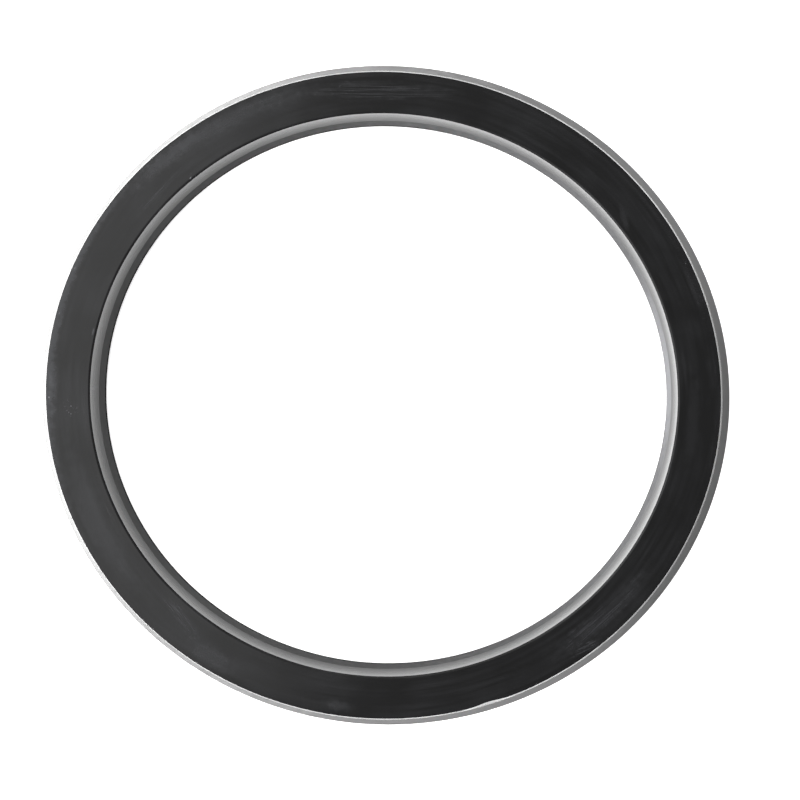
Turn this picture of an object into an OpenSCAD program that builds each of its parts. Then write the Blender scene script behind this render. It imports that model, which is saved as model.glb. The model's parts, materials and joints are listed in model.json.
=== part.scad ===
// Piston seal: one rubber ring, moulded in one piece.
// It lies on its two lips with the flat heel up. On a piston the lips face the pressure.
// Sizes are in millimetres. The Z axis is the axis of the ring, and Z = 0 is the plane of the lip ends.

/* [Fit] */
// Diameter of the cylinder that the outer lip seals against
cylinder_d = 100; // [60:0.5:200]
// Radial width of the groove, from its floor to the cylinder
groove_w = 7.5; // [6.75:0.25:10]
// Free height, from the lip ends to the heel face
seal_h = 9; // [8.2:0.1:12]

/* [Heel] */
// Gap on the radius between the outer land and the cylinder
heel_gap = 0.2; // [0.1:0.05:0.5]
// Pinch on the radius of the inner land on the groove floor
heel_pinch = 0.3; // [0.05:0.05:0.6]
// Radial width of the outer bevel, between the heel face and the outer land
outer_bevel_w = 0.3; // [0.2:0.02:0.8]
// Height of the outer bevel
outer_bevel_h = 1.3; // [0.6:0.1:2]
// Height of the straight outer land
outer_land_h = 2; // [1.2:0.1:3]
// Radius of the edge between the heel face and the outer bevel
outer_edge_r = 0.15; // [0.05:0.01:0.3]
// Radial width of the inner bevel, which leads the seal onto the piston
inner_bevel_w = 0.98; // [0.4:0.02:1.4]
// Height of the inner bevel
inner_bevel_h = 3.1; // [2:0.1:3.6]
// Height of the straight inner land
inner_land_h = 1.8; // [1.2:0.1:2.6]
// Radius of the edge between the heel face and the inner bevel
inner_edge_r = 0.3; // [0.1:0.02:0.6]
// Radius of the soft bend from the inner bevel into the inner land
inner_blend_r = 5; // [1:0.5:6]

/* [Outer lip] */
// Squeeze on the radius of the sealing edge against the cylinder
outer_squeeze = 1; // [0.3:0.05:1.2]
// Height of the sealing edge above the lip end
outer_trim_h = 1.7; // [0.5:0.1:2.4]
// Radial width of the trimmed slope below the sealing edge
outer_trim_w = 1.1; // [0.5:0.05:1.5]
// Width of the lip end
outer_end_w = 0.6; // [0.3:0.05:0.9]

/* [Inner lip] */
// Squeeze on the radius of the sealing edge against the groove floor
inner_squeeze = 0.85; // [0.3:0.05:1.1]
// Height of the sealing edge above the lip end
inner_trim_h = 0.6; // [0.4:0.1:1.2]
// Radial width of the trimmed slope below the sealing edge
inner_trim_w = 0.55; // [0.3:0.05:0.9]
// Width of the lip end
inner_end_w = 0.7; // [0.3:0.05:0.9]

/* [Cup between the lips] */
// Depth of the cup, from the lip ends to its root
cup_depth = 4.6; // [3.4:0.1:5.2]
// Thickness of each lip at the root of the cup, measured from the land above it
lip_root_w = 1.85; // [1.4:0.05:2.1]
// Radius of the two corners at the root
root_r = 1.8; // [0.5:0.1:1.9]

/* [Edges of the lips] */
// Radius of the two sealing edges
seal_edge_r = 0.06; // [0.02:0.01:0.15]
// Radius of the edges of the lip ends
end_edge_r = 0.1; // [0.04:0.01:0.14]

/* [Hidden] */

// Faces of the curve round the axis, where it is drawn as flats
$fn = 240;
// Steps in each rounded corner of the section
corner_steps = 8;

// The two straight lands of the heel
heel_outer_r = cylinder_d / 2 - heel_gap;
heel_inner_r = cylinder_d / 2 - groove_w - heel_pinch;
// The two sealing edges
lip_outer_r = cylinder_d / 2 + outer_squeeze;
lip_inner_r = cylinder_d / 2 - groove_w - inner_squeeze;

// Lip ends, each from its trimmed slope to the cup
outer_end_r = lip_outer_r - outer_trim_w;
inner_end_r = lip_inner_r + inner_trim_w;
outer_mouth_r = outer_end_r - outer_end_w;
inner_mouth_r = inner_end_r + inner_end_w;

// Foot of each bevel, and bottom of each land, where its lip starts to flare
outer_bevel_z = seal_h - outer_bevel_h;
outer_flare_z = outer_bevel_z - outer_land_h;
inner_bevel_z = seal_h - inner_bevel_h;
// The soft bend takes this much of the land's height, below the foot of the inner bevel
inner_bend_h = inner_blend_r * tan(atan(inner_bevel_w / inner_bevel_h) / 2);
inner_flare_z = inner_bevel_z - inner_bend_h - inner_land_h;

// Corners of the section, in order round it: radius from the axis, height and corner radius
section_corners = [
    [outer_end_r, 0, end_edge_r],
    [lip_outer_r, outer_trim_h, seal_edge_r],
    [heel_outer_r, outer_flare_z, 0],
    [heel_outer_r, outer_bevel_z, 0],
    [heel_outer_r - outer_bevel_w, seal_h, outer_edge_r],
    [heel_inner_r + inner_bevel_w, seal_h, inner_edge_r],
    [heel_inner_r, inner_bevel_z, inner_blend_r],
    [heel_inner_r, inner_flare_z, 0],
    [lip_inner_r, inner_trim_h, seal_edge_r],
    [inner_end_r, 0, end_edge_r],
    [inner_mouth_r, 0, end_edge_r],
    [heel_inner_r + lip_root_w, cup_depth, root_r],
    [heel_outer_r - lip_root_w, cup_depth, root_r],
    [outer_mouth_r, 0, end_edge_r]
];

function unit(v) = v / norm(v);

function heading(v) = atan2(v.y, v.x);

// An angle brought into the range from -180 to 180
function turned(a) = a - 360 * floor((a + 180) / 360);

// The corner at b, between a and c, as an arc of radius r that touches both sides
function rounded_corner(a, b, c, r) =
    let (
        to_a = unit(a - b),
        to_c = unit(c - b),
        half = acos(to_a * to_c) / 2,
        centre = b + unit(to_a + to_c) * r / sin(half),
        start = b + to_a * r / tan(half) - centre,
        finish = b + to_c * r / tan(half) - centre,
        sweep = turned(heading(finish) - heading(start))
    )
    [
        for (i = [0 : corner_steps])
            let (angle = heading(start) + sweep * i / corner_steps)
            centre + r * [cos(angle), sin(angle)]
    ];

function flat(corner) = [corner.x, corner.y];

// The whole outline: a corner with a radius of 0 stays a point
function outline(corners) =
    let (n = len(corners))
    [
        for (i = [0 : n - 1])
            let (
                before = flat(corners[(i + n - 1) % n]),
                here = flat(corners[i]),
                after = flat(corners[(i + 1) % n]),
                r = corners[i].z
            )
            each r > 0 ? rounded_corner(before, here, after, r) : [here]
    ];

// The moulded ring: its section turned once round the axis
module seal_ring() {
    color([0.13, 0.13, 0.135])
        rotate_extrude()
            polygon(outline(section_corners));
}

seal_ring();
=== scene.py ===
"""Looks of a rubber piston seal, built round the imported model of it.

The seal is one moulding, so it is one piece here too: the section is drawn from its named corners,
rounded, and spun once round the axis. It lies on its two lips with the flat heel up.
Sizes are in millimetres until the mesh is finished, and the mesh is then scaled to metres.
"""

import json
import logging
import math
from dataclasses import dataclass
from enum import Enum
from typing import Any

import bmesh
import bpy
from mathutils import Matrix, Vector


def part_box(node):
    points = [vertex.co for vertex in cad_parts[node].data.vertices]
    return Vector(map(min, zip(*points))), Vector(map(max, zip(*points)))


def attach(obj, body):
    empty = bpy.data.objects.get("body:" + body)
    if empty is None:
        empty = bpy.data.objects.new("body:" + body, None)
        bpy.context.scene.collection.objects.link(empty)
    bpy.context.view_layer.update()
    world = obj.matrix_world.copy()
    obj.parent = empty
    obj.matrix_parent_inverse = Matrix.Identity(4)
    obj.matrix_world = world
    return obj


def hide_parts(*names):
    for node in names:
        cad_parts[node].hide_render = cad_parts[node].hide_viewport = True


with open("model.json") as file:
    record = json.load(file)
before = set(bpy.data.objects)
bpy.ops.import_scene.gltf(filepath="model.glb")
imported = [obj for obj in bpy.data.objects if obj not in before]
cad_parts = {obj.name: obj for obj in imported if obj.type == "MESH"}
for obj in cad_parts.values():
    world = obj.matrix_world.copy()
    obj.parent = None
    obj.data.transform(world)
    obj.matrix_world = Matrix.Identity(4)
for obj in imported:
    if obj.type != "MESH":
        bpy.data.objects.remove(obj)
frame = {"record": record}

LOG = logging.getLogger("piston_seal")
NODE = "seal_ring"
BODY = "root"
MM = 0.001


def find_mount(mount_name: str) -> dict[str, Any]:
    """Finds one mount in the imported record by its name."""
    return next(mount for mount in frame["record"]["mounts"] if mount["name"] == mount_name)


def mount_size(mount_name: str, size_name: str) -> float:
    """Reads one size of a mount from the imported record.

    Args:
        mount_name: Name of the mount.
        size_name: Name of the size in the mount's dims.

    Returns:
        The size in millimetres.
    """
    return float(find_mount(mount_name)["dims"][size_name])


def mount_height(mount_name: str) -> float:
    """Reads the height of a mount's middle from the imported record.

    Args:
        mount_name: Name of the mount.

    Returns:
        The height above the lip ends in millimetres.
    """
    return float(find_mount(mount_name)["pos_m"][2]) / MM


class NodeBoard:
    """A node tree, with short calls that add its nodes and join them."""

    def __init__(self, tree: bpy.types.NodeTree) -> None:
        """Takes the tree and clears it.

        Args:
            tree: The node tree of a material, a world or a group.
        """
        self.tree = tree
        self.tree.nodes.clear()

    def add(self, kind: str, inputs: dict[Any, Any] | None = None, **settings: Any) -> bpy.types.Node:
        """Adds one node.

        Args:
            kind: The node's Blender type name.
            inputs: Values or output sockets for its inputs, by name or number.
            settings: Properties of the node itself.

        Returns:
            The new node.
        """
        node = self.tree.nodes.new(kind)
        for name, value in settings.items():
            setattr(node, name, value)
        for name, value in (inputs or {}).items():
            if isinstance(value, bpy.types.NodeSocket):
                self.tree.links.new(value, node.inputs[name])
            else:
                node.inputs[name].default_value = value
        return node

    def maths(self, operation: str, *values: Any) -> bpy.types.NodeSocket:
        """Adds a Math node and returns its result.

        Args:
            operation: The sum to work out, as Blender names it.
            values: Its one to three inputs, each a number or an output socket.

        Returns:
            The output socket.
        """
        return self.add("ShaderNodeMath", dict(enumerate(values)), operation=operation).outputs[0]


class GroupBoard(NodeBoard):
    """The tree of a shader node group, with named inputs and outputs."""

    def __init__(self, name: str, inputs: dict[str, Any]) -> None:
        """Makes the group and its inputs.

        Args:
            name: Name of the group.
            inputs: Each input's name and the value that it starts with, a number or three numbers.
        """
        super().__init__(bpy.data.node_groups.new(name, "ShaderNodeTree"))
        for socket_name, value in inputs.items():
            kind = "NodeSocketFloat" if isinstance(value, float) else "NodeSocketVector"
            socket = self.tree.interface.new_socket(socket_name, in_out="INPUT", socket_type=kind)
            socket.default_value = value
        self.given = self.add("NodeGroupInput").outputs

    def finish(self, outputs: dict[str, bpy.types.NodeSocket]) -> bpy.types.NodeTree:
        """Adds the outputs.

        Args:
            outputs: Each output's name and the socket that it puts out.

        Returns:
            The finished group.
        """
        for name, source in outputs.items():
            kind = "NodeSocketVector" if source.type == "VECTOR" else "NodeSocketFloat"
            self.tree.interface.new_socket(name, in_out="OUTPUT", socket_type=kind)
        self.add("NodeGroupOutput", outputs)
        return self.tree


class Wear(Enum):
    """The kinds of mark on the rubber: those that handling left, and the smears of painted reflection on
    the inner wall.
    """

    SMEAR = "smear"
    STROKES = "strokes"
    SPECKS = "specks"
    TICK = "tick"


@dataclass(frozen=True)
class Mark:
    """One mark on the rubber, placed by bearing and radius, in degrees and millimetres.

    Its length runs round the ring and its width across the ring, unless it has a slant.
    """

    wear: Wear
    bearing: float
    radius: float
    length: float
    width: float
    strength: float
    slant: float = 0.0
    strands_per_mm: float = 1.6
    fewest_strands: float = 3.0
    speck_mesh: float = 0.3
    speck_share: float = 0.45
    ragged: float = 1.0
    tick_ragged: float = 0.2


@dataclass(frozen=True)
class SurfaceGroups:
    """The shader node groups that the finishes share."""

    place: bpy.types.NodeTree
    streaks: bpy.types.NodeTree
    patch: bpy.types.NodeTree
    strands: bpy.types.NodeTree
    specks: bpy.types.NodeTree
    grain: bpy.types.NodeTree

    @classmethod
    def build(cls, out_of_round: float, long_axis_deg: float) -> "SurfaceGroups":
        """Builds the groups once.

        Args:
            out_of_round: Share by which the ring is longer one way and shorter the other way.
            long_axis_deg: Bearing of the long way.

        Returns:
            The groups.
        """
        return cls(
            place=cls.build_place(out_of_round, math.radians(long_axis_deg)),
            streaks=cls.build_streaks(),
            patch=cls.build_patch(),
            strands=cls.build_strands(),
            specks=cls.build_specks(),
            grain=cls.build_grain(),
        )

    @staticmethod
    def build_place(out_of_round: float, long_axis: float) -> bpy.types.NodeTree:
        """Builds the group that gives the place on the true round ring, in millimetres.

        Args:
            out_of_round: Share by which the ring is longer one way and shorter the other way.
            long_axis: Bearing of the long way, in radians.

        Returns:
            The group, with the place, the height, and a place for patterns that run round the ring:
            the direction from the axis, and the radius as its third number.
        """
        board = GroupBoard("place_on_ring", {})
        laid = board.add("ShaderNodeTexCoord").outputs["Object"]
        stretch = (1 + out_of_round, 1 - out_of_round, 1.0)
        turn = (0.0, 0.0, long_axis)
        flat = board.add(
            "ShaderNodeMapping",
            {"Vector": laid, "Rotation": turn, "Scale": stretch},
            vector_type="TEXTURE",
        ).outputs[0]
        place = board.add(
            "ShaderNodeMapping",
            {"Vector": flat, "Rotation": turn, "Scale": (1 / MM, 1 / MM, 1 / MM)},
        ).outputs[0]
        parts = board.add("ShaderNodeSeparateXYZ", {0: place}).outputs
        level = board.add("ShaderNodeCombineXYZ", {"X": parts["X"], "Y": parts["Y"]}).outputs[0]
        radius = board.add("ShaderNodeVectorMath", {0: level}, operation="LENGTH").outputs["Value"]
        along = board.add("ShaderNodeVectorMath", {0: level}, operation="NORMALIZE").outputs["Vector"]
        ways = board.add("ShaderNodeSeparateXYZ", {0: along}).outputs
        turned = board.add("ShaderNodeCombineXYZ", {"X": ways["X"], "Y": ways["Y"], "Z": radius}).outputs[0]
        return board.finish({"Place": place, "Height": parts["Z"], "Turned": turned})

    @staticmethod
    def build_streaks() -> bpy.types.NodeTree:
        """Builds the group of soft streaks that run round the ring.

        Returns:
            The group, whose streaks are about as long and wide as its inputs say, in millimetres.
        """
        board = GroupBoard(
            "turned_streaks", {"Turned": (0.0, 0.0, 0.0), "Length": 12.0, "Width": 0.5, "Radius": 46.0}
        )
        turns = board.maths("DIVIDE", board.given["Radius"], board.given["Length"])
        rows = board.maths("DIVIDE", 1.0, board.given["Width"])
        scale = board.add("ShaderNodeCombineXYZ", {"X": turns, "Y": turns, "Z": rows}).outputs[0]
        spread = board.add(
            "ShaderNodeVectorMath", {0: board.given["Turned"], 1: scale}, operation="MULTIPLY"
        ).outputs[0]
        noise = board.add(
            "ShaderNodeTexNoise", {"Vector": spread, "Scale": 1.0, "Detail": 3.0, "Roughness": 0.55}
        ).outputs[0]
        return board.finish({"Streaks": noise})

    @staticmethod
    def build_patch() -> bpy.types.NodeTree:
        """Builds the group of one soft-edged patch, placed by bearing and radius.

        Returns:
            The group, with the patch's mask and the place inside it, which is 1 long at its edge.
        """
        faint_at, full_at, ragged_scale = 1.1, 0.25, 0.9
        board = GroupBoard(
            "soft_patch",
            {
                "Place": (0.0, 0.0, 0.0),
                "Bearing": 0.0,
                "Radius": 46.0,
                "Length": 4.0,
                "Width": 1.0,
                "Slant": 0.0,
                "Bend": 1.0,
                "Ragged": 0.5,
            },
        )
        back = board.maths("MULTIPLY", board.given["Bearing"], -1.0)
        turn = board.add("ShaderNodeCombineXYZ", {"Z": back}).outputs[0]
        facing = board.add(
            "ShaderNodeMapping", {"Vector": board.given["Place"], "Rotation": turn}
        ).outputs[0]
        parts = board.add("ShaderNodeSeparateXYZ", {0: facing}).outputs
        angle = board.maths("ARCTAN2", parts["Y"], parts["X"])
        level = board.add("ShaderNodeCombineXYZ", {"X": parts["X"], "Y": parts["Y"]}).outputs[0]
        reach = board.add("ShaderNodeVectorMath", {0: level}, operation="LENGTH").outputs["Value"]
        arc = board.maths("MULTIPLY", angle, board.given["Radius"])
        straight = board.maths("SUBTRACT", parts["X"], board.given["Radius"])
        bent = board.maths("SUBTRACT", reach, parts["X"])
        out = board.maths("MULTIPLY_ADD", board.given["Bend"], bent, straight)
        flat = board.add("ShaderNodeCombineXYZ", {"X": arc, "Y": out}).outputs[0]
        slant = board.add("ShaderNodeCombineXYZ", {"Z": board.given["Slant"]}).outputs[0]
        halves = [board.maths("MULTIPLY", board.given[side], 0.5) for side in ("Length", "Width")]
        size = board.add("ShaderNodeCombineXYZ", {"X": halves[0], "Y": halves[1], "Z": 1.0}).outputs[0]
        inside = board.add(
            "ShaderNodeMapping",
            {"Vector": flat, "Rotation": slant, "Scale": size},
            vector_type="TEXTURE",
        ).outputs[0]
        far = board.add("ShaderNodeVectorMath", {0: inside}, operation="LENGTH").outputs["Value"]
        noise = board.add(
            "ShaderNodeTexNoise",
            {"Vector": board.given["Place"], "Scale": ragged_scale, "Detail": 3.0, "Roughness": 0.6},
        ).outputs[0]
        shift = board.maths("MULTIPLY", board.maths("SUBTRACT", noise, 0.5), board.given["Ragged"])
        edge = board.maths("ADD", far, shift)
        mask = board.add(
            "ShaderNodeMapRange",
            {"Value": edge, "From Min": faint_at, "From Max": full_at},
            interpolation_type="SMOOTHSTEP",
        ).outputs[0]
        return board.finish({"Mask": mask, "Inside": inside})

    @staticmethod
    def build_strands() -> bpy.types.NodeTree:
        """Builds the group of fine brushed strands inside a patch.

        Returns:
            The group, with a mask of strands that run the long way of the patch.
        """
        faint_at, full_at = 0.42, 0.72
        board = GroupBoard("brushed_strands", {"Inside": (0.0, 0.0, 0.0), "Count": 8.0, "Seed": 0.0})
        parts = board.add("ShaderNodeSeparateXYZ", {0: board.given["Inside"]}).outputs
        across = board.maths("MULTIPLY", parts["Y"], board.given["Count"])
        combed = {"X": parts["X"], "Y": across, "Z": board.given["Seed"]}
        place = board.add("ShaderNodeCombineXYZ", combed).outputs[0]
        noise = board.add(
            "ShaderNodeTexNoise", {"Vector": place, "Scale": 1.6, "Detail": 4.0, "Roughness": 0.65}
        ).outputs[0]
        mask = board.add(
            "ShaderNodeMapRange",
            {"Value": noise, "From Min": faint_at, "From Max": full_at},
            interpolation_type="SMOOTHSTEP",
        ).outputs[0]
        return board.finish({"Strands": mask})

    @staticmethod
    def build_specks() -> bpy.types.NodeTree:
        """Builds the group of scattered specks.

        Returns:
            The group, with a mask of round specks: Size is the mesh they lie in, in millimetres,
            and Share is the share of its places that hold one.
        """
        least_reach, reach_spread, full_at = 0.12, 0.3, 0.4
        board = GroupBoard("scattered_specks", {"Place": (0.0, 0.0, 0.0), "Size": 0.4, "Share": 0.3})
        scale = board.maths("DIVIDE", 1.0, board.given["Size"])
        cells = board.add("ShaderNodeTexVoronoi", {"Vector": board.given["Place"], "Scale": scale})
        colour = board.add("ShaderNodeSeparateXYZ", {0: cells.outputs["Color"]}).outputs
        reach = board.maths("MULTIPLY_ADD", colour["Y"], reach_spread, least_reach)
        away = board.maths("DIVIDE", cells.outputs["Distance"], reach)
        spot = board.add(
            "ShaderNodeMapRange", {"Value": away, "From Min": 1.0, "From Max": full_at}
        ).outputs[0]
        chosen = board.maths("LESS_THAN", colour["X"], board.given["Share"])
        return board.finish({"Specks": board.maths("MULTIPLY", spot, chosen)})

    @staticmethod
    def build_grain() -> bpy.types.NodeTree:
        """Builds the group of the rubber's own fine grain.

        Returns:
            The group, with the grain as a value between 0 and 1.
        """
        board = GroupBoard("rubber_grain", {"Place": (0.0, 0.0, 0.0), "Size": 0.25})
        scale = board.maths("DIVIDE", 1.0, board.given["Size"])
        fine = board.add(
            "ShaderNodeTexNoise",
            {"Vector": board.given["Place"], "Scale": scale, "Detail": 3.0, "Roughness": 0.6},
        ).outputs[0]
        return board.finish({"Grain": fine})


@dataclass(frozen=True)
class Fade:
    """Growth of the roughness and loss of the coat from one height to a lower one, in millimetres."""

    top: float
    foot: float
    growth: float
    coat_loss: float


@dataclass(frozen=True)
class RubberFinish:
    """The finish of one zone of the moulded black rubber, with the pale film that lies on it.

    The film is a share of 0 to 1 of a grey powder that blooms on the rubber, in clouds and in streaks round
    the ring that are sized in millimetres; on the inner wall the same film is brighter and also carries
    painted reflection of the lit floor.
    The coat is the gloss of rubber that was rubbed smooth, either over the whole zone or only where the
    polish mark lies.
    The marks are the ones that handling left, except the marks on the inner wall, which are painted
    reflection.
    """

    name: str
    roughness: float
    ior: float = 1.5
    base: tuple[float, float, float] = (0.002, 0.002, 0.0021)
    bloom_and_reflection: tuple[float, float, float] = (0.052, 0.053, 0.058)
    film: float = 0.0
    film_spread: float = 0.03
    film_roughness: float = 0.25
    cloud_scale: float = 0.12
    streak_length: float = 14.0
    streak_width: float = 0.6
    bare_below: float = 0.18
    full_above: float = 0.4
    coat: float = 0.0
    coat_roughness: float = 0.2
    coat_ior: float = 1.5
    grain_size: float = 0.25
    grain_height: float = 0.004
    grain_bump: float = 0.25
    speckle: float = 0.8
    fade: Fade | None = None
    polish: Mark | None = None
    marks: tuple[Mark, ...] = ()

    def film_and_reflection_cover(
        self, board: NodeBoard, groups: SurfaceGroups, place: dict[str, Any]
    ) -> bpy.types.NodeSocket:
        """Works out how much of the pale film lies on each place, which on the inner wall also holds
        painted reflection.

        Args:
            board: The material's node tree.
            groups: The shared node groups.
            place: The outputs of the place group.

        Returns:
            The share of film and painted reflection, from 0 to 1.
        """
        cloud = board.add(
            "ShaderNodeTexNoise",
            {"Vector": place["Place"], "Scale": self.cloud_scale, "Detail": 3.0, "Roughness": 0.5},
        ).outputs[0]
        streaks = board.add(
            "ShaderNodeGroup",
            {"Turned": place["Turned"], "Length": self.streak_length, "Width": self.streak_width},
            node_tree=groups.streaks,
        ).outputs[0]
        uneven = board.add(
            "ShaderNodeMapRange",
            {
                "Value": board.maths("MULTIPLY", cloud, streaks),
                "From Min": self.bare_below,
                "From Max": self.full_above,
            },
        ).outputs[0]
        cover = board.maths("MULTIPLY_ADD", uneven, self.film_spread, self.film)
        for number, mark in enumerate(self.marks):
            cover = board.maths("ADD", cover, self.mark_cover(board, groups, place, mark, number))
        return board.maths("MINIMUM", cover, 1.0)

    @staticmethod
    def mark_cover(
        board: NodeBoard, groups: SurfaceGroups, place: dict[str, Any], mark: Mark, number: int
    ) -> bpy.types.NodeSocket:
        """Works out where one mark lies.

        Args:
            board: The material's node tree.
            groups: The shared node groups.
            place: The outputs of the place group.
            mark: The mark to add.
            number: Its number, which makes its strands its own.

        Returns:
            The strength of the mark at each place, for the film or for the coat.
        """
        patch = board.add(
            "ShaderNodeGroup",
            {
                "Place": place["Place"],
                "Bearing": math.radians(mark.bearing),
                "Radius": mark.radius,
                "Length": mark.length,
                "Width": mark.width,
                "Slant": math.radians(mark.slant),
                "Bend": 0.0 if mark.wear is Wear.STROKES else 1.0,
                "Ragged": mark.tick_ragged if mark.wear is Wear.TICK else mark.ragged,
            },
            node_tree=groups.patch,
        )
        mask = patch.outputs["Mask"]
        if mark.wear is Wear.STROKES:
            count = max(mark.fewest_strands, mark.width * mark.strands_per_mm)
            strands = board.add(
                "ShaderNodeGroup",
                {"Inside": patch.outputs["Inside"], "Count": count, "Seed": float(number)},
                node_tree=groups.strands,
            ).outputs[0]
            mask = board.maths("MULTIPLY", mask, strands)
        if mark.wear is Wear.SPECKS:
            specks = board.add(
                "ShaderNodeGroup",
                {"Place": place["Place"], "Size": mark.speck_mesh, "Share": mark.speck_share},
                node_tree=groups.specks,
            ).outputs[0]
            mask = board.maths("MULTIPLY", mask, specks)
        return board.maths("MULTIPLY", mask, mark.strength)

    def material(self, groups: SurfaceGroups) -> bpy.types.Material:
        """Makes the material.

        Args:
            groups: The shared node groups.

        Returns:
            The new material.
        """
        material = bpy.data.materials.new(self.name)
        material.use_nodes = True
        board = NodeBoard(material.node_tree)
        place = board.add("ShaderNodeGroup", node_tree=groups.place).outputs
        grain = board.add(
            "ShaderNodeGroup", {"Place": place["Place"], "Size": self.grain_size}, node_tree=groups.grain
        ).outputs[0]
        # Film share: powder film, and on the inner wall painted reflection too
        cover = self.film_and_reflection_cover(board, groups, place)
        broken = board.maths("MULTIPLY_ADD", grain, self.speckle, 1 - self.speckle / 2)
        spotted = board.maths("MULTIPLY", cover, broken)
        # Inputs 6 and 7 of this node are its two colours, and output 2 is the mixed one
        colour = board.add(
            "ShaderNodeMix",
            {"Factor": spotted, 6: (*self.base, 1.0), 7: (*self.bloom_and_reflection, 1.0)},
            data_type="RGBA",
        ).outputs[2]
        roughness = board.maths("MULTIPLY_ADD", spotted, self.film_roughness, self.roughness)
        coat = self.coat
        if self.fade:
            faded = board.add(
                "ShaderNodeMapRange",
                {"Value": place["Height"], "From Min": self.fade.top, "From Max": self.fade.foot},
            ).outputs[0]
            roughness = board.maths("MULTIPLY_ADD", faded, self.fade.growth, roughness)
            coat = board.maths("MULTIPLY_ADD", faded, -self.coat * self.fade.coat_loss, self.coat)
        if self.polish:
            coat = self.mark_cover(board, groups, place, self.polish, 0)
        bump = board.add(
            "ShaderNodeBump",
            {"Strength": self.grain_bump, "Distance": self.grain_height * MM, "Height": grain},
        ).outputs[0]
        shader = board.add(
            "ShaderNodeBsdfPrincipled",
            {
                "Base Color": colour,
                "Roughness": roughness,
                "IOR": self.ior,
                "Coat Weight": coat,
                "Coat Roughness": self.coat_roughness,
                "Coat IOR": self.coat_ior,
                "Normal": bump,
            },
        )
        board.add("ShaderNodeOutputMaterial", {"Surface": shader.outputs["BSDF"]})
        return material


# Marks on the heel, from the right of the picture round by its top, its left and its bottom.
# Each one has its kind, bearing, radius, length, width and strength.
HEEL_MARKS = (
    Mark(Wear.SMEAR, 5.0, 48.4, 9.0, 1.6, 0.02),
    Mark(Wear.STROKES, 5.0, 48.5, 10.0, 1.6, 0.05),
    Mark(Wear.SMEAR, 13.0, 46.8, 5.0, 2.0, 0.03),
    Mark(Wear.SPECKS, 20.0, 48.7, 13.0, 1.4, 0.25),
    Mark(Wear.SMEAR, 20.5, 48.5, 10.0, 1.2, 0.05),
    Mark(Wear.TICK, 24.6, 48.9, 0.3, 0.2, 0.4),
    Mark(Wear.SMEAR, 37.5, 44.8, 4.5, 1.2, 0.09, slant=20.0),
    Mark(Wear.STROKES, 90.0, 46.6, 25.0, 3.6, 0.24),
    Mark(Wear.SMEAR, 96.3, 48.0, 2.8, 1.1, 0.05),
    Mark(Wear.TICK, 95.8, 48.2, 1.0, 0.25, 0.08, slant=35.0),
    Mark(Wear.TICK, 97.3, 47.7, 0.8, 0.25, 0.12, slant=-40.0),
    Mark(Wear.SMEAR, 121.0, 47.8, 34.0, 3.6, 0.13),
    Mark(Wear.SMEAR, 131.0, 48.2, 20.0, 2.6, 0.09),
    Mark(Wear.STROKES, 136.0, 45.0, 16.0, 1.8, 0.22),
    Mark(Wear.TICK, 130.2, 43.5, 0.5, 0.22, 1.8, slant=-20.0),
    Mark(Wear.TICK, 129.6, 43.9, 0.4, 0.2, 0.15, slant=-20.0),
    Mark(Wear.SMEAR, 156.8, 49.1, 0.9, 0.35, 0.22),
    Mark(Wear.SMEAR, 165.4, 49.1, 0.7, 0.3, 0.22),
    Mark(Wear.SMEAR, 167.2, 43.6, 1.3, 0.4, 0.4),
    Mark(Wear.SMEAR, 168.0, 49.5, 66.0, 2.6, 0.26),
    Mark(Wear.SMEAR, 178.0, 48.5, 10.0, 1.8, 0.16),
    Mark(Wear.TICK, 180.6, 49.1, 0.3, 0.25, 1.0),
    Mark(Wear.SPECKS, 182.7, 46.0, 3.0, 2.6, 1.0),
    Mark(Wear.STROKES, 184.0, 44.1, 9.0, 1.0, 0.1),
    Mark(Wear.SMEAR, 195.5, 48.9, 3.4, 0.7, 0.04),
    Mark(Wear.SMEAR, 205.0, 46.6, 30.0, 4.4, 0.1),
    Mark(Wear.STROKES, 207.0, 44.2, 11.0, 1.0, 0.16),
    Mark(Wear.STROKES, 228.5, 45.2, 10.0, 2.6, 0.26, slant=12.0),
    Mark(Wear.SMEAR, 238.0, 47.6, 11.0, 3.6, 0.14),
    Mark(Wear.SMEAR, 262.0, 48.0, 5.5, 2.0, 0.13),
    Mark(Wear.SPECKS, 295.0, 46.8, 9.0, 4.4, 0.1),
    Mark(Wear.STROKES, 307.0, 48.4, 8.0, 1.8, 0.4, slant=12.0),
    Mark(Wear.SMEAR, 314.0, 46.6, 24.0, 3.4, 0.08),
    Mark(Wear.STROKES, 313.0, 46.4, 20.0, 4.4, 0.16),
    Mark(Wear.SMEAR, 355.0, 45.6, 18.0, 2.4, 0.055),
    Mark(Wear.STROKES, 352.0, 48.8, 9.0, 0.8, 0.08),
)

# Specks and a rubbed spot on the inner bevel
INSIDE_MARKS = (
    Mark(Wear.SPECKS, 210.9, 42.5, 1.4, 0.6, 0.4),
    Mark(Wear.SPECKS, 295.6, 42.5, 1.2, 0.6, 0.4),
    Mark(Wear.SPECKS, 300.1, 42.5, 1.4, 0.6, 0.4),
    Mark(Wear.SPECKS, 194.4, 42.6, 1.0, 0.6, 0.4),
    Mark(Wear.SMEAR, 178.6, 42.6, 0.5, 1.2, 0.6),
)

# The left half of the outer side is rubbed smoother than the rest
RUBBED_SIDE = Mark(Wear.SMEAR, 168.0, 50.5, 180.0, 20.0, 1.0)

# Painted reflection of the lit floor on the right half of the inner wall, laid as pale film that is
# stronger in the middle of it
WALL_PAINTED_REFLECTION = (
    Mark(Wear.SMEAR, 6.0, 41.9, 34.0, 4.0, 0.5),
    Mark(Wear.SMEAR, 8.0, 41.9, 150.0, 14.0, 0.33),
)


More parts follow.
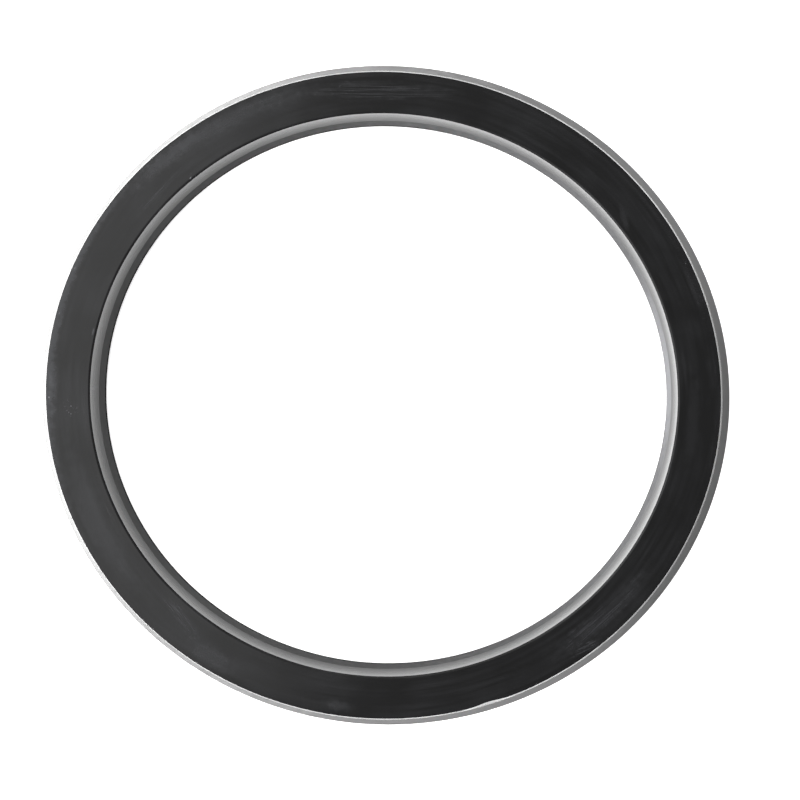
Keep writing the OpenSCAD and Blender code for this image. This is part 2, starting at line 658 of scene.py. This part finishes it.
class Zone(Enum):
    """The zones of the ring's skin, each with its own finish."""

    HEEL = RubberFinish(
        "heel_rubber",
        roughness=0.15,
        base=(0.0062, 0.0062, 0.0063),
        film_spread=0.075,
        marks=HEEL_MARKS,
    )
    OUTER_BEVEL = RubberFinish(
        "outer_bevel_rubber", roughness=0.2, film_spread=0.01, coat=1.0, coat_roughness=0.15
    )
    OUTSIDE = RubberFinish(
        "outside_rubber", roughness=0.35, ior=1.42, film_spread=0.01, polish=RUBBED_SIDE
    )
    INNER_BEVEL = RubberFinish(
        "inner_bevel_rubber",
        roughness=0.15,
        film_spread=0.1,
        coat=1.0,
        coat_roughness=0.15,
        fade=Fade(top=9.0, foot=5.9, growth=0.2, coat_loss=0.7),
        marks=INSIDE_MARKS,
    )
    # The inner wall: its brighter film colour and its marks are painted reflection of the lit floor, over a
    # faint film
    INSIDE = RubberFinish(
        "inside_rubber",
        roughness=0.65,
        ior=1.45,
        bloom_and_reflection=(0.1, 0.101, 0.106),
        film_spread=0.04,
        film_roughness=0.1,
        marks=WALL_PAINTED_REFLECTION,
    )
    # The band: near black and mirrorless, as painted shade at the foot of the inner lip where it meets the
    # floor
    PAINTED_SHADE_BAND = RubberFinish("painted_shade_band_rubber", roughness=0.8, ior=1.1)
    CUP = RubberFinish("cup_rubber", roughness=0.6, film=0.02, film_spread=0.06)


@dataclass(frozen=True)
class Corner:
    """One corner of the section: radius from the axis, height, and radius of its rounding."""

    r: float
    z: float
    rounding: float = 0.0


@dataclass
class SealRing:
    """The moulded ring, with its heel, its two lips and the cup between them.

    Sizes are in millimetres. A roll is the soft edge of the heel face. The shine is the glossy strip below
    the outer land, and the band is the upright end of the inner wall, near black and mirrorless as painted
    shade where the lip meets the floor. A face counts as heel where its normal points up by more than the
    heel tilt, and an edge is sharp past the sharp angle.
    """

    height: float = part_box(NODE)[1].z / MM
    heel_outer_r: float = mount_size("heel_outer_land", "r_mm")
    heel_inner_r: float = mount_size("heel_inner_land", "r_mm")
    outer_land_h: float = mount_size("heel_outer_land", "length_mm")
    inner_land_h: float = mount_size("heel_inner_land", "length_mm")
    outer_bevel_w: float = 0.24
    outer_shine_h: float = 0.36
    outer_roll_w: float = 0.9
    outer_roll_h: float = 0.015
    outer_roll_r: float = 14.0
    inner_bevel_w: float = 0.93
    inner_bevel_h: float = 3.1
    inner_hollow_h: float = 0.07
    inner_hollow_share: float = 8 / 9
    inner_roll_w: float = 0.3
    inner_roll_h: float = 0.06
    inner_roll_r: float = 0.5
    inner_blend_r: float = 0.8
    outer_flare_w: float = 1.27
    outer_trim_h: float = 1.7
    outer_trim_w: float = 1.1
    outer_end_w: float = 0.6
    inner_flare_w: float = 0.55
    inner_trim_h: float = 0.6
    inner_trim_w: float = 0.55
    inner_band_h: float = 1.7
    inner_end_w: float = 0.7
    cup_depth: float = 4.6
    lip_root_w: float = 1.85
    root_r: float = 1.8
    seal_edge_r: float = 0.06
    end_edge_r: float = 0.1
    edge_steps: int = 6
    turn_steps: int = 480
    weld_gap: float = 0.0006
    dent_bearing_deg: float = -71.8
    dent_depth: float = 0.28
    dent_length: float = 4.0
    heel_tilt: float = 0.9
    sharp_deg: float = 25.0
    out_of_round: float = 0.0222
    long_axis_deg: float = -5.4
    bore_shift: tuple[float, float] = (0.126, 0.071)

    @property
    def outer_land_foot(self) -> float:
        """Height of the lower end of the outer land."""
        return mount_height("heel_outer_land") - self.outer_land_h / 2

    @property
    def outer_land_top(self) -> float:
        """Height of the upper end of the outer land."""
        return mount_height("heel_outer_land") + self.outer_land_h / 2

    def corners(self) -> list[Corner]:
        """Lists the section's corners in order round it, from the end of the outer lip.

        Returns:
            The corners, in millimetres.
        """
        inner_land_top = mount_height("heel_inner_land") + self.inner_land_h / 2
        lip_outer_r = self.heel_outer_r + self.outer_flare_w
        lip_inner_r = self.heel_inner_r - self.inner_flare_w
        outer_end_r = lip_outer_r - self.outer_trim_w
        inner_end_r = lip_inner_r + self.inner_trim_w
        outer_edge_r = self.heel_outer_r - self.outer_bevel_w
        inner_edge_r = self.heel_inner_r + self.inner_bevel_w
        flare_h = self.outer_land_foot - self.outer_trim_h
        shine_w = self.outer_flare_w * self.outer_shine_h / flare_h
        bevel_top = Vector((inner_edge_r, self.height - self.inner_roll_h))
        bevel_foot = Vector((self.heel_inner_r, self.height - self.inner_bevel_h))
        run = bevel_foot - bevel_top
        # The corner of a shallow arc lies twice as deep as the hollow that the arc leaves. An arc over the
        # whole run has the run's square over eight hollows as its radius.
        into = Vector((-run.y, run.x)).normalized()
        hollow = (bevel_top + bevel_foot) / 2 + into * self.inner_hollow_h * 2
        hollow_r = self.inner_hollow_share * run.length**2 / (8 * self.inner_hollow_h)
        return [
            Corner(outer_end_r, 0.0, self.end_edge_r),
            Corner(lip_outer_r, self.outer_trim_h, self.seal_edge_r),
            Corner(self.heel_outer_r + shine_w, self.outer_land_foot - self.outer_shine_h),
            Corner(self.heel_outer_r, self.outer_land_foot),
            Corner(self.heel_outer_r, self.outer_land_top),
            Corner(outer_edge_r, self.height - self.outer_roll_h),
            Corner(outer_edge_r - self.outer_roll_w, self.height, self.outer_roll_r),
            Corner(inner_edge_r + self.inner_roll_w, self.height, self.inner_roll_r),
            Corner(bevel_top.x, bevel_top.y),
            Corner(hollow.x, hollow.y, hollow_r),
            Corner(bevel_foot.x, bevel_foot.y, self.inner_blend_r),
            Corner(self.heel_inner_r, inner_land_top),
            Corner(lip_inner_r, self.inner_trim_h + self.inner_band_h),
            Corner(lip_inner_r, self.inner_trim_h, self.seal_edge_r),
            Corner(inner_end_r, 0.0, self.end_edge_r),
            Corner(inner_end_r + self.inner_end_w, 0.0, self.end_edge_r),
            Corner(self.heel_inner_r + self.lip_root_w, self.cup_depth, self.root_r),
            Corner(self.heel_outer_r - self.lip_root_w, self.cup_depth, self.root_r),
            Corner(outer_end_r - self.outer_end_w, 0.0, self.end_edge_r),
        ]

    def section(self) -> bmesh.types.BMesh:
        """Draws the section as a closed line, with its corners rounded.

        Returns:
            A mesh of edges in the XZ plane.
        """
        drawn = bmesh.new()
        corners = self.corners()
        points = [drawn.verts.new((corner.r, 0.0, corner.z)) for corner in corners]
        drawn.faces.new(points)
        places = [point.co.copy() for point in points]
        for number, corner in enumerate(corners):
            if not corner.rounding:
                continue
            to_last = places[number - 1] - places[number]
            to_next = places[(number + 1) % len(places)] - places[number]
            bmesh.ops.bevel(
                drawn,
                geom=[points[number]],
                offset=corner.rounding / math.tan(to_last.angle(to_next) / 2),
                offset_type="OFFSET",
                affect="VERTICES",
                segments=self.edge_steps,
                profile=0.5,
                material=-1,
            )
        bmesh.ops.delete(drawn, geom=drawn.faces[:], context="FACES_ONLY")
        return drawn

    def build(self) -> bpy.types.Object:
        """Spins the section into the ring and lays it as the soft ring lies, a little out of round.

        Returns:
            The ring, with no material yet.
        """
        shell = self.section()
        bmesh.ops.spin(
            shell,
            geom=shell.verts[:] + shell.edges[:],
            cent=(0.0, 0.0, 0.0),
            axis=(0.0, 0.0, 1.0),
            dvec=(0.0, 0.0, 0.0),
            angle=2 * math.pi,
            steps=self.turn_steps,
            use_merge=True,
            use_duplicate=False,
        )
        bmesh.ops.remove_doubles(shell, verts=shell.verts[:], dist=self.weld_gap)
        bmesh.ops.recalc_face_normals(shell, faces=shell.faces[:])
        self.mark_zones(shell)
        self.dent_outer_edge(shell)
        self.shift_bore(shell)
        turn = Matrix.Rotation(math.radians(self.long_axis_deg), 4, "Z")
        stretch = Matrix.Diagonal((1 + self.out_of_round, 1 - self.out_of_round, 1.0, 1.0))
        bmesh.ops.transform(
            shell,
            matrix=Matrix.Scale(MM, 4) @ turn @ stretch @ turn.inverted(),
            verts=shell.verts[:],
        )
        mesh = bpy.data.meshes.new("moulded_ring")
        shell.to_mesh(mesh)
        shell.free()
        ring = bpy.data.objects.new("moulded_ring", mesh)
        bpy.context.scene.collection.objects.link(ring)
        weighted = ring.modifiers.new("flat_faces_stay_flat", "WEIGHTED_NORMAL")
        weighted.weight = 100
        weighted.keep_sharp = True
        return ring

    def dent_outer_edge(self, shell: bmesh.types.BMesh) -> None:
        """Presses the small dent into the outer edge of the heel face, and leaves the land round.

        Args:
            shell: The round ring, in millimetres.
        """
        foot = self.outer_land_top
        edge_r = self.heel_outer_r - self.outer_bevel_w
        dent = math.radians(self.dent_bearing_deg)
        for point in shell.verts:
            radius = math.hypot(point.co.x, point.co.y)
            if point.co.z < foot or radius < edge_r - self.outer_roll_w:
                continue
            away = math.remainder(math.atan2(point.co.y, point.co.x) - dent, 2 * math.pi) * radius
            depth = self.dent_depth * math.exp(-((2 * away / self.dent_length) ** 2))
            share = (point.co.z - foot) / (self.height - foot)
            share *= min(1.0, (radius - edge_r + self.outer_roll_w) / self.outer_roll_w)
            turn_in = 1 - depth * share / radius
            point.co.x *= turn_in
            point.co.y *= turn_in

    def shift_bore(self, shell: bmesh.types.BMesh) -> None:
        """Moves the inner side of the soft ring a little to one side, and leaves the outer side.

        Args:
            shell: The round ring, in millimetres.
        """
        for point in shell.verts:
            radius = math.hypot(point.co.x, point.co.y)
            share = (self.heel_outer_r - radius) / (self.heel_outer_r - self.heel_inner_r)
            share = min(1.0, max(0.0, share))
            point.co.x += self.bore_shift[0] * share
            point.co.y += self.bore_shift[1] * share

    def mark_zones(self, shell: bmesh.types.BMesh) -> None:
        """Gives each face the number of its zone, and makes it smooth.

        Args:
            shell: The round ring, in millimetres.
        """
        zones = list(Zone)
        middle = (self.heel_outer_r + self.heel_inner_r) / 2
        outer_foot = self.outer_land_foot - self.outer_shine_h
        inner_foot = self.height - self.inner_bevel_h
        band_top = self.inner_trim_h + self.inner_band_h
        for face in shell.faces:
            face.smooth = True
            place = face.calc_center_median()
            away = Vector((place.x, place.y, 0.0))
            outside = away.length > middle
            if outside:
                zone = Zone.OUTER_BEVEL if place.z > outer_foot else Zone.OUTSIDE
            else:
                zone = Zone.INNER_BEVEL if place.z > inner_foot else Zone.INSIDE
                # The lowest upright strip of the inner wall gets the finish of painted shade
                zone = Zone.PAINTED_SHADE_BAND if place.z < band_top else zone
            if (face.normal.dot(away) > 0) != outside:
                zone = Zone.CUP
            if face.normal.z > self.heel_tilt:
                zone = Zone.HEEL
            face.material_index = zones.index(zone)
        for edge in shell.edges:
            edge.smooth = edge.calc_face_angle(0.0) < math.radians(self.sharp_deg)

    def dress(self, ring: bpy.types.Object) -> None:
        """Gives each zone of the ring its finish.

        Args:
            ring: The ring as built.
        """
        groups = SurfaceGroups.build(self.out_of_round, self.long_axis_deg)
        for zone in Zone:
            ring.data.materials.append(zone.value.material(groups))


@dataclass(frozen=True)
class SoftLight:
    """A square soft light that looks at the middle of the seal, in degrees, watts and metres.

    Without glare it lights the rubber, but isn't mirrored in it.
    """

    name: str
    toward_deg: float
    elevation_deg: float
    power: float
    side: float
    distance: float = 0.6
    glare: bool = True

    def build(self, aim: Vector) -> bpy.types.Object:
        """Hangs the light.

        Args:
            aim: The point that it looks at, in metres.

        Returns:
            The light.
        """
        data = bpy.data.lights.new(self.name, "AREA")
        data.shape = "SQUARE"
        data.size = self.side
        data.energy = self.power
        light = bpy.data.objects.new(self.name, data)
        turn, rise = math.radians(self.toward_deg), math.radians(self.elevation_deg)
        back = Vector((math.cos(rise) * math.cos(turn), math.cos(rise) * math.sin(turn), math.sin(rise)))
        light.location = aim + self.distance * back
        light.rotation_mode = "QUATERNION"
        light.rotation_quaternion = back.to_track_quat("Z", "Y")
        light.visible_camera = False
        light.visible_glossy = self.glare
        bpy.context.scene.collection.objects.link(light)
        return light


@dataclass
class Studio:
    """A pale floor, soft lights round the seal, and a dark room with a pale backdrop.

    The floor glows for the camera only, and less where the ring is nearer to it than the contact reach:
    painted contact shade.
    """

    floor_side: float = 6.0
    floor_albedo: float = 0.8
    floor_glow: float = 0.9
    contact_reach: float = 0.0012
    backdrop: float = 1.6
    # Each light has its name, bearing, elevation, power and side
    lights: tuple[SoftLight, ...] = (
        SoftLight("low_left_front_light", 210.0, 12.0, 9.78, 0.2, glare=False),
        SoftLight("low_left_back_light", 120.0, 12.0, 7.72, 0.2, glare=False),
        SoftLight("low_left_light", 180.0, 12.0, 1.54, 0.2, glare=False),
        SoftLight("low_right_front_light", 330.0, 12.0, 0.98, 0.2, glare=False),
        SoftLight("low_near_light", 240.0, 12.0, 0.27, 0.2, glare=False),
        SoftLight("near_light", 240.0, 28.0, 2.12, 0.45),
        SoftLight("left_front_light", 210.0, 28.0, 1.73, 0.45),
        SoftLight("high_back_light", 90.0, 55.0, 2.09, 0.35),
        SoftLight("high_right_light", 0.0, 55.0, 1.36, 0.35),
        SoftLight("high_left_back_light", 135.0, 55.0, 0.94, 0.35),
        SoftLight("high_left_front_light", 225.0, 55.0, 0.61, 0.35),
        SoftLight("overhead_panel", 180.0, 74.0, 0.108, 0.19, distance=0.5),
    )

    def build_floor(self) -> bpy.types.Object:
        """Lays the floor that the seal rests on.

        Returns:
            The floor.
        """
        drawn = bmesh.new()
        bmesh.ops.create_grid(drawn, x_segments=1, y_segments=1, size=self.floor_side / 2)
        mesh = bpy.data.meshes.new("floor")
        drawn.to_mesh(mesh)
        drawn.free()
        mesh.materials.append(self.floor_material())
        floor = bpy.data.objects.new("floor", mesh)
        bpy.context.scene.collection.objects.link(floor)
        return floor

    def floor_material(self) -> bpy.types.Material:
        """Makes the floor's material: pale and matt, bright for the camera with painted contact shade near
        the ring, and clear from below.

        Returns:
            The new material.
        """
        material = bpy.data.materials.new("pale_floor")
        material.use_nodes = True
        board = NodeBoard(material.node_tree)
        matt = board.add(
            "ShaderNodeBsdfDiffuse",
            {"Color": (self.floor_albedo, self.floor_albedo, self.floor_albedo, 1.0)},
        ).outputs[0]
        # Ambient occlusion dims the glow near the ring: painted contact shade on the floor, for the camera
        # only
        contact = board.add("ShaderNodeAmbientOcclusion", {"Distance": self.contact_reach}, samples=8)
        level = board.maths("MULTIPLY", contact.outputs["AO"], self.floor_glow)
        glow = board.add("ShaderNodeEmission", {"Strength": level}).outputs[0]
        bright = board.add("ShaderNodeAddShader", {0: matt, 1: glow}).outputs[0]
        seen = board.add("ShaderNodeLightPath").outputs["Is Camera Ray"]
        face = board.add("ShaderNodeMixShader", {0: seen, 1: matt, 2: bright}).outputs[0]
        clear = board.add("ShaderNodeBsdfTransparent").outputs[0]
        back = board.add("ShaderNodeNewGeometry").outputs["Backfacing"]
        whole = board.add("ShaderNodeMixShader", {0: back, 1: face, 2: clear}).outputs[0]
        board.add("ShaderNodeOutputMaterial", {"Surface": whole})
        return material

    def build_room(self) -> bpy.types.World:
        """Makes the room: dark for the light it gives, with a pale backdrop for the camera.

        Returns:
            The world.
        """
        world = bpy.data.worlds.new("room")
        world.use_nodes = True
        board = NodeBoard(world.node_tree)
        seen = board.add("ShaderNodeLightPath").outputs["Is Camera Ray"]
        level = board.maths("MULTIPLY", seen, self.backdrop)
        light = board.add("ShaderNodeBackground", {"Strength": level})
        board.add("ShaderNodeOutputWorld", {"Surface": light.outputs[0]})
        bpy.context.scene.world = world
        return world

    def build(self, aim: Vector) -> None:
        """Builds the floor, the lights and the room.

        Args:
            aim: The point that the lights look at, in metres.
        """
        self.build_floor()
        for light in self.lights:
            light.build(aim)
        self.build_room()


@dataclass
class TopCamera:
    """The camera of the photograph, high above the seal and a little to its right."""

    place: tuple[float, float, float] = (0.0276, 0.0008, 0.629)
    target: tuple[float, float, float] = (0.00265, -0.0007, 0.009)
    lens: float = 186.4
    sensor: float = 36.0

    def build(self) -> bpy.types.Object:
        """Makes the camera and turns it down to its target, with the picture's top towards +Y.

        Returns:
            The camera.
        """
        data = bpy.data.cameras.new("camera")
        data.lens = self.lens
        data.sensor_width = self.sensor
        camera = bpy.data.objects.new("camera", data)
        place = Vector(self.place)
        back = (place - Vector(self.target)).normalized()
        right = Vector((0.0, 1.0, 0.0)).cross(back).normalized()
        up = back.cross(right)
        turn = Matrix((right, up, back)).transposed()
        camera.matrix_world = Matrix.Translation(place) @ turn.to_4x4()
        bpy.context.scene.collection.objects.link(camera)
        bpy.context.scene.camera = camera
        return camera


def main() -> None:
    """Builds the seal, its finish, the studio and the camera."""
    logging.basicConfig(level=logging.INFO, format="%(name)s: %(message)s")
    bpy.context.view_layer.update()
    seal = SealRing()
    ring = seal.build()
    seal.dress(ring)
    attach(ring, BODY)
    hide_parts(NODE)
    LOG.info("%s: %d faces", ring.name, len(ring.data.polygons))
    heel = Vector((0.0, 0.0, seal.height * MM))
    Studio().build(heel)
    TopCamera().build()
    scene = bpy.context.scene
    scene.view_settings.view_transform = "Standard"
    scene.view_settings.look = "None"


if __name__ == "__main__":
    main()
